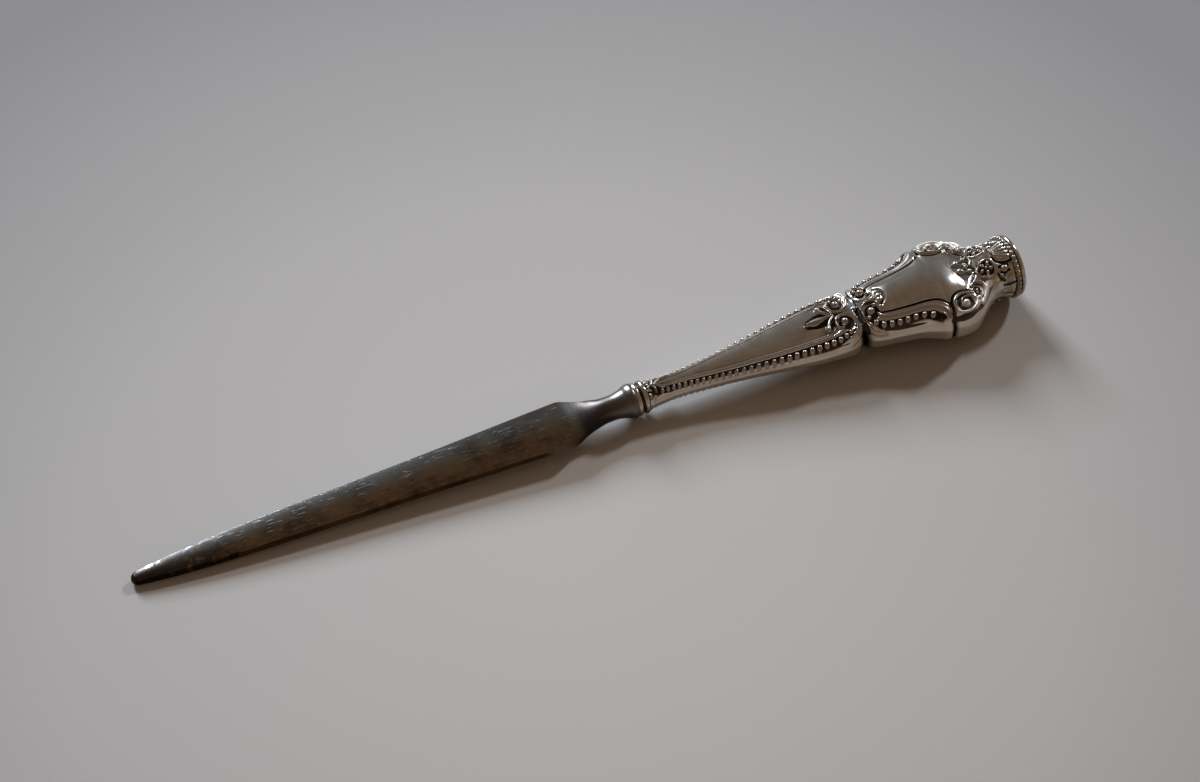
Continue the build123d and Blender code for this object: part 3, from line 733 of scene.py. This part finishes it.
def silver_material():
    """Struck silver: bright on the high places, brown and black tarnish in the low ones, painted
    shade in the waist and the notch, a painted pale reflection on the rubbed band.
    """
    material, shader, nodes = new_material("struck_silver")
    shader["Metallic"].default_value = 1
    recess, rub_and_sheen, place = nodes.attribute("recess"), nodes.attribute("rub_and_sheen"), nodes.place()
    # the hollows of the relief darken with tarnish; in the waist and the notch this darkening is
    # painted shade
    tarnish_and_shade_depth = nodes.multiply_add(recess, 4.0, 0.12)
    uneven = nodes.multiply_add(nodes.noise(place, 300, 7, 0.65), 0.7, -0.35)
    lowness = nodes.math("ADD", tarnish_and_shade_depth, uneven)
    tarnish_and_shade = nodes.ramp(lowness, [(0.0, (0.60, 0.572, 0.54)), (0.30, (0.45, 0.40, 0.35)),
                                   (0.60, (0.15, 0.108, 0.078)), (1.0, (0.036, 0.024, 0.017))])
    # the ornament, raised or sunk, is browner and duller than the plain faces
    worked = nodes.spread(nodes.math("ABSOLUTE", recess), 0.008, 0.10)
    brown = nodes.mix(worked, tarnish_and_shade, (0.57, 0.53, 0.485), "MULTIPLY")
    # a cloudy film from handling
    patches = nodes.spread(nodes.noise(place, 620, 8, 0.7), 0.38, 0.66)
    film = nodes.mix(nodes.math("MULTIPLY", patches, 0.22), brown, (0.13, 0.11, 0.095))
    # painted reflection: the rubbed band is painted pale, for the lit ground that it faces; the
    # extra roughness below is real rubbing
    pale = nodes.mix(nodes.math("MULTIPLY", rub_and_sheen, 0.7), film, (0.80, 0.74, 0.66))
    nodes.link(pale, shader["Base Color"])
    rough = nodes.spread(worked, 0, 1, 0.11, 0.31)
    rough = nodes.multiply_add(patches, 0.045, rough)
    rough = nodes.multiply_add(rub_and_sheen, 0.30, rough)
    nodes.link(rough, shader["Roughness"])
    nodes.link(nodes.bump(nodes.noise(place, 2600, 3), 0.12, 0.00004), shader["Normal"])
    return material


def steel_material():
    """Old steel: a painted brown reflection on the near half and a painted grey one on the far
    half, dark spots at the tip, rubbing and scratches.
    """
    material, shader, nodes = new_material("patinated_steel")
    shader["Metallic"].default_value = 1
    place = nodes.place()
    x, y = nodes.axis(place, "X"), nodes.axis(place, "Y")
    cloud = nodes.noise(place, 150, 9, 0.68)
    streak = nodes.noise(nodes.place((0.06, 1, 1)), 1800, 5)
    tone = nodes.multiply_add(streak, 0.3, cloud)
    grey = nodes.ramp(tone, [(0.46, (0.25, 0.25, 0.25)), (0.62, (0.19, 0.183, 0.172)),
                             (0.76, (0.11, 0.096, 0.082)), (0.90, (0.045, 0.036, 0.03))])
    brown = nodes.ramp(tone, [(0.46, (0.24, 0.175, 0.110)), (0.62, (0.19, 0.130, 0.080)),
                              (0.76, (0.105, 0.066, 0.041)), (0.90, (0.038, 0.022, 0.014))])
    # painted reflection: the near half is painted brown, for the brown room in front, the far half
    # grey, for the back; the cloudy tones are the steel's own
    wander = nodes.multiply_add(cloud, 0.004, y)
    far_half = nodes.spread(wander, *FAR_HALF, kind="SMOOTHSTEP")
    tone_and_painted_reflection = nodes.mix(far_half, brown, grey)
    # dark spots gather at the tip
    near_tip = nodes.spread(x, *TIP_STAINS, 0.32, 0.0)
    spotted = nodes.math("ADD", nodes.noise(place, 520, 4), near_tip)
    dark = nodes.spread(spotted, 0.66, 0.74, 0.0, 0.85)
    stained = nodes.mix(dark, tone_and_painted_reflection, (0.012, 0.007, 0.005))
    # short scratches across the blade scatter the light
    lines = nodes.noise(nodes.place((0.14, 1, 1), (0, 0, 0.9)), 3600, 3)
    scratch = nodes.spread(nodes.multiply_add(cloud, 0.35, lines), 0.80, 0.86)
    rough = nodes.multiply_add(scratch, 0.12, nodes.spread(tone, 0.4, 0.85, 0.10, 0.17))
    # the neck and the bolster are duller and darker than the blade's faces
    behind = nodes.spread(x, *NECK_STARTS, kind="SMOOTHSTEP")
    rough = nodes.multiply_add(behind, 0.18, rough)
    nodes.link(nodes.multiply_add(dark, 0.12, rough), shader["Roughness"])
    # the neck is darkest just behind the shoulders and brightest at the lip of the bolster
    along_neck = nodes.spread(x, NECK_STARTS[0], BOLSTER_LIP)
    neck_tones = nodes.ramp(along_neck, [(0.0, (0.045, 0.036, 0.032)), (0.3, (0.015, 0.012, 0.010)),
                                        (0.62, (0.085, 0.068, 0.062)),
                                        (1.0, (0.17, 0.155, 0.145))])
    nodes.link(nodes.mix(behind, stained, neck_tones), shader["Base Color"])
    nodes.link(nodes.bump(streak, 0.15, 0.00003), shader["Normal"])
    return material


def pitch_material():
    """The dark pitch that fills the handle, hidden inside it."""
    material, shader, nodes = new_material("cutler_pitch")
    grain = nodes.noise(nodes.place(), 600, 4)
    tones = nodes.ramp(grain, [(0.3, (0.02, 0.015, 0.012)), (0.7, (0.05, 0.035, 0.025))])
    nodes.link(tones, shader["Base Color"])
    shader["Roughness"].default_value = 0.6
    return material


def floor_material():
    """A pale matt ground with a painted pool of light: its colour darkens slowly away from a place
    beside the tool.
    """
    material, shader, nodes = new_material("pale_ground")
    place = nodes.place()
    # painted pool of light: the ground's colour darkens with the distance from this place
    away = nodes.add("ShaderNodeVectorMath", {0: place, 1: (-0.018, -0.027, 0)}, "Value",
                     operation="DISTANCE")
    fine = nodes.multiply_add(nodes.noise(place, 700, 3), 0.02, nodes.spread(away, 0, 0.5))
    tones = nodes.ramp(fine, [(0.0, (0.440, 0.405, 0.372)), (0.1, (0.420, 0.387, 0.355)),
                              (0.2, (0.380, 0.350, 0.323)), (0.26, (0.325, 0.300, 0.277)),
                              (0.40, (0.210, 0.196, 0.188)), (1.0, (0.120, 0.110, 0.104))])
    nodes.link(tones, shader["Base Color"])
    shader["Roughness"].default_value = 0.9
    return material


# a finish: the slot it fills, and its material
silver, steel = ("silver", silver_material()), ("blade_steel", steel_material())

# ---- handle shells: name, first and last station, step between stations, points across ----
STRETCHES = (("shaft", 107.0, WAIST_X, 0.11, 177),
             ("bulb", WAIST_X, 181.5, 0.09, 273),
             ("flare", 181.5, 188.9, 0.07, 273))


def stations(start, end, step):
    """Even stations whose count fits the stride of the inner wall."""
    spans = STRIDE * math.ceil((end - start) / step / STRIDE)
    return np.linspace(start, end, spans + 1)


for half, shell_node in (("top", TOP), ("bottom", BOTTOM)):
    for stretch, first_x, last_x, step, columns in STRETCHES:
        shell_piece(f"{stretch}_shell_{half}", stations(first_x, last_x, step), columns, silver,
                    shell_node, half == "top")

# ---- rim beads, mouth ring and end cap ----
RIM_BEADS, RIM_BEAD, RIM_X, RIM_RADIUS = 36, 0.5, 188.4, 6.3
BEAD_ROWS, BEAD_POINTS = 11, 20         # of one bead's mesh, between its poles
BEAD_STRETCH = 1.04          # beads nearly touch round the rim
BEAD_RECESS = -0.2           # beads stand proud, so they are clean


def rim_beads():
    """A ring of small beads round the axis."""
    # one bead: rows round the tool's direction, then its two poles
    a, b = np.meshgrid(np.linspace(0, math.pi, BEAD_ROWS + 2)[1:-1],
                       np.linspace(0, 2 * math.pi, BEAD_POINTS, endpoint=False), indexing="ij")
    along = np.concatenate([(np.cos(a) * RIM_BEAD).ravel(), [RIM_BEAD, -RIM_BEAD]])
    out = np.concatenate([(np.sin(a) * np.cos(b) * RIM_BEAD).ravel(), [0, 0]])
    aside = np.concatenate([(np.sin(a) * np.sin(b) * RIM_BEAD * BEAD_STRETCH).ravel(), [0, 0]])
    x, radius = RIM_X + along, RIM_RADIUS + out
    points, faces = [], []
    for k in range(RIM_BEADS):
        turn = 2 * math.pi * (k + 0.5) / RIM_BEADS
        points.append(np.stack([x, radius * math.cos(turn) - aside * math.sin(turn),
                                radius * math.sin(turn) + aside * math.cos(turn)], -1))
        ids = k * len(x) + np.arange(BEAD_ROWS * BEAD_POINTS).reshape(BEAD_ROWS, BEAD_POINTS)
        nxt = np.roll(ids, -1, axis=1)
        faces += np.stack([ids[:-1], ids[1:], nxt[1:], nxt[:-1]], -1).reshape(-1, 4).tolist()
        north, south = (k + 1) * len(x) - 2, (k + 1) * len(x) - 1
        faces += [[north, int(i), int(j)] for i, j in zip(ids[0], nxt[0])]
        faces += [[south, int(j), int(i)] for i, j in zip(ids[-1], nxt[-1])]
    points = np.concatenate(points)
    mesh_piece("rim_beads", points, faces, silver, [TOP, BOTTOM],
               {"recess": np.full(len(points), BEAD_RECESS)})


rim_beads()

RING_PROFILE = [(104.45, 2.2), (104.45, 3.2), (104.6, 3.42), (104.95, 3.5), (105.25, 3.4),
                (105.45, 3.15), (105.6, 3.02), (105.8, 3.1), (106.05, 3.38), (106.4, 3.48),
                (106.75, 3.38), (107.0, 3.05), (107.0, 2.2)]
RING_RECESS = [(104.4, 0.1), (104.7, -0.05), (105.1, -0.05), (105.35, 0.14), (105.6, 0.24),
               (105.9, 0.08), (106.2, -0.05), (106.7, 0.02), (107.0, 0.2)]
turned_piece("mouth_ring_moulded", RING_PROFILE, 0.05, silver, "mouth_ring", RING_RECESS)

CAP_PROFILE = [(187.6, 5.0), (188.85, 5.0), (188.95, 6.2), (189.05, 6.45), (189.3, 6.6),
               (189.65, 6.58), (189.9, 6.4), (189.99, 6.1), (189.98, 5.2), (189.97, 3.0),
               (189.97, 0.15)]
CAP_RECESS = [(187, 0.2), (188.95, 0.2), (189.2, 0.0), (189.9, -0.02), (190, 0.03)]
turned_piece("end_cap_disc", CAP_PROFILE, 0.12, silver, "end_cap", CAP_RECESS)

# ---- blade: half its width, half its height and half the height of its edges, over x ----
BLADE_WIDTH = [(0, 0.1), (0.12, 0.55), (0.5, 0.9), (1.3, 1.12), (3, 1.35), (8, 1.98), (20, 2.88),
               (39, 3.62), (59, 4.27), (78, 5.07), (87, 5.43), (89.5, 5.5), (90.3, 5.32),
               (91.6, 4.65), (93.5, 3.58), (95.6, 2.75), (97.5, 2.38), (100.4, 2.62),
               (102.2, 3.05), (103.2, 3.48), (103.9, 3.63), (104.4, 3.5), (104.6, 3.1)]
BLADE_HEIGHT = [(0, 0.1), (0.2, 0.5), (0.8, 0.82), (3, 0.95), (20, 1.0), (80, 1.05),
                (90, 1.05), (92, 1.2), (95, 1.9), (97.5, 2.36), (100.4, 2.62),
                (102.2, 3.05), (103.2, 3.48), (103.9, 3.63), (104.4, 3.5), (104.6, 3.1)]
EDGE_HEIGHT = [(0, 0.05), (0.8, 0.64), (3, 0.87), (12, 0.92), (20, 0.89), (45, 0.84), (80, 0.80),
               (90, 0.80), (92, 0.92), (95, 1.4), (97, 1.75), (104.6, 1.9)]
EDGE_AT_MOST = 0.85          # of the blade's half height
WALL_POINTS, FACE_POINTS = 6, 22        # of a quarter of a section: its edge, its face
BLADE_TURNS_ROUND = (94, 101)
# first and last station of each stretch, and how many
BLADE_STRETCHES = ((0.035, 1.5, 26), (1.65, 88, 540), (88.1, 104.6, 166))


def blade_section(x):
    """Rings of the blade: a lens with upright edges that turns round behind the shoulders."""
    a, b, e = (smooth(t, x)[:, None] for t in (BLADE_WIDTH, BLADE_HEIGHT, EDGE_HEIGHT))
    e = np.minimum(e, b * EDGE_AT_MOST)
    # a quarter: up the edge, then over the face
    wall = np.arange(WALL_POINTS)[None] / WALL_POINTS
    face = np.radians(np.arange(FACE_POINTS)[None] * 90 / FACE_POINTS)
    y = np.concatenate([a + 0 * wall, a * np.cos(face)], 1)
    z = np.concatenate([e * wall, e + (b - e) * np.sin(face) ** 2], 1)
    count = WALL_POINTS + FACE_POINTS
    turned = np.radians(np.arange(count)[None] * 90 / count)
    m = ease(x, *BLADE_TURNS_ROUND)[:, None]
    y = y + (a * np.cos(turned) - y) * m
    z = z + (b * np.sin(turned) - z) * m
    # mirrored to the upper half; half a turn of that is the lower half, and all is softened
    right_y, right_z = np.concatenate([y, 0 * a], 1), np.concatenate([z, b], 1)
    upper_y = np.concatenate([right_y, -right_y[:, -2:0:-1]], 1)
    upper_z = np.concatenate([right_z, right_z[:, -2:0:-1]], 1)
    ring_y = np.concatenate([upper_y, -upper_y], 1)
    ring_z = np.concatenate([upper_z, -upper_z], 1)
    soft = [(np.roll(r, 1, 1) + 2 * r + np.roll(r, -1, 1)) / 4 for r in (ring_y, ring_z)]
    return np.stack([x[:, None] + 0 * soft[0], *soft], -1)


blade_x = np.concatenate([np.linspace(*stretch) for stretch in BLADE_STRETCHES])
lofted("blade_steel_body", blade_section(blade_x), steel, ["blade"])

# ---- the pitch core stays as it is, inside the shells ----
core = frame["nodes"]["pitch_core"]
core.data.materials.clear()
core.data.materials.append(pitch_material())

# ---- ground, lamps, room and camera ----
GROUND_HALF = 2.0            # m
LIT_PLACE = Vector((0.04, 0, 0))        # the lamps face it


def lay_ground():
    """The ground that the tool lies on."""
    mesh = bpy.data.meshes.new("ground")
    mesh.from_pydata([(x * GROUND_HALF, y * GROUND_HALF, 0)
                      for x, y in ((-1, -1), (1, -1), (1, 1), (-1, 1))], [], [(0, 1, 2, 3)])
    mesh.materials.append(floor_material())
    ground = bpy.data.objects.new("ground", mesh)
    bpy.context.collection.objects.link(ground)


def soft_lamp(name, direction, distance, size, power, colour):
    """A rectangular soft lamp in a direction from the lit place, which it faces."""
    lamp = bpy.data.lights.new(name, "AREA")
    lamp.shape = "RECTANGLE"
    lamp.size, lamp.size_y = size
    lamp.energy, lamp.color = power, colour
    holder = bpy.data.objects.new(name, lamp)
    holder.location = LIT_PLACE + Vector(direction) * distance
    holder.rotation_euler = (LIT_PLACE - holder.location).to_track_quat("-Z", "Y").to_euler()
    bpy.context.collection.objects.link(holder)


def room_world():
    """A dim room: neutral towards the back, brown behind the camera, darker brown overhead."""
    world = bpy.data.worlds.new("room")
    world.use_nodes = True
    nodes = Nodes(world.node_tree)
    direction = nodes.add("ShaderNodeTexCoord", {}, "Generated")
    height = nodes.axis(direction, "Z")
    front = nodes.ramp(height, [(0.0, (0.38, 0.26, 0.155)), (0.22, (0.42, 0.285, 0.17)),
                                (0.4, (0.235, 0.155, 0.098)), (0.7, (0.20, 0.14, 0.095)),
                                (1.0, (0.19, 0.135, 0.095))])
    back = nodes.ramp(height, [(0.0, (0.22, 0.19, 0.16)), (0.35, (0.24, 0.235, 0.23)),
                               (0.60, (0.21, 0.205, 0.195)), (0.777, (0.205, 0.175, 0.148)),
                               (0.906, (0.20, 0.145, 0.107)), (1.0, (0.19, 0.135, 0.095))])
    room = nodes.mix(nodes.spread(nodes.axis(direction, "Y"), -0.5, 0.5), front, back)
    nodes.link(room, world.node_tree.nodes["Background"].inputs["Color"])
    bpy.context.scene.world = world


def photo_camera():
    """The camera at the photograph's viewing angle."""
    place = Vector((-111.256, -276.251, 375.074)) * MM
    yaw, pitch, roll = (math.radians(angle) for angle in (22.312, 50.672, -0.93))
    lens = bpy.data.cameras.new("camera")
    lens.lens, lens.sensor_width = 71.72, 36
    lens.clip_start = 0.01
    forward = Vector((math.sin(yaw) * math.cos(pitch), math.cos(yaw) * math.cos(pitch),
                      -math.sin(pitch)))
    level = forward.cross(Vector((0, 0, 1))).normalized()
    lifted = level.cross(forward)
    right = level * math.cos(roll) + lifted * math.sin(roll)
    above = right.cross(forward)
    turn = Matrix((right, above, -forward)).transposed().to_4x4()
    camera = bpy.data.objects.new("camera", lens)
    camera.matrix_world = Matrix.Translation(place) @ turn
    bpy.context.collection.objects.link(camera)
    bpy.context.scene.camera = camera


lay_ground()
# a wide window at the back left, and a small lamp on the right, a little warmer
soft_lamp("window", (-0.096, 0.880, 0.465), distance=2.2, size=(0.5, 0.8), power=62,
          colour=(0.88, 1.02, 1.20))
soft_lamp("lamp", (0.762, 0.375, 0.528), distance=1.6, size=(0.14, 0.14), power=12.5,
          colour=(1.0, 1.03, 1.08))
room_world()
photo_camera()
bpy.context.scene.view_settings.view_transform = "Standard"
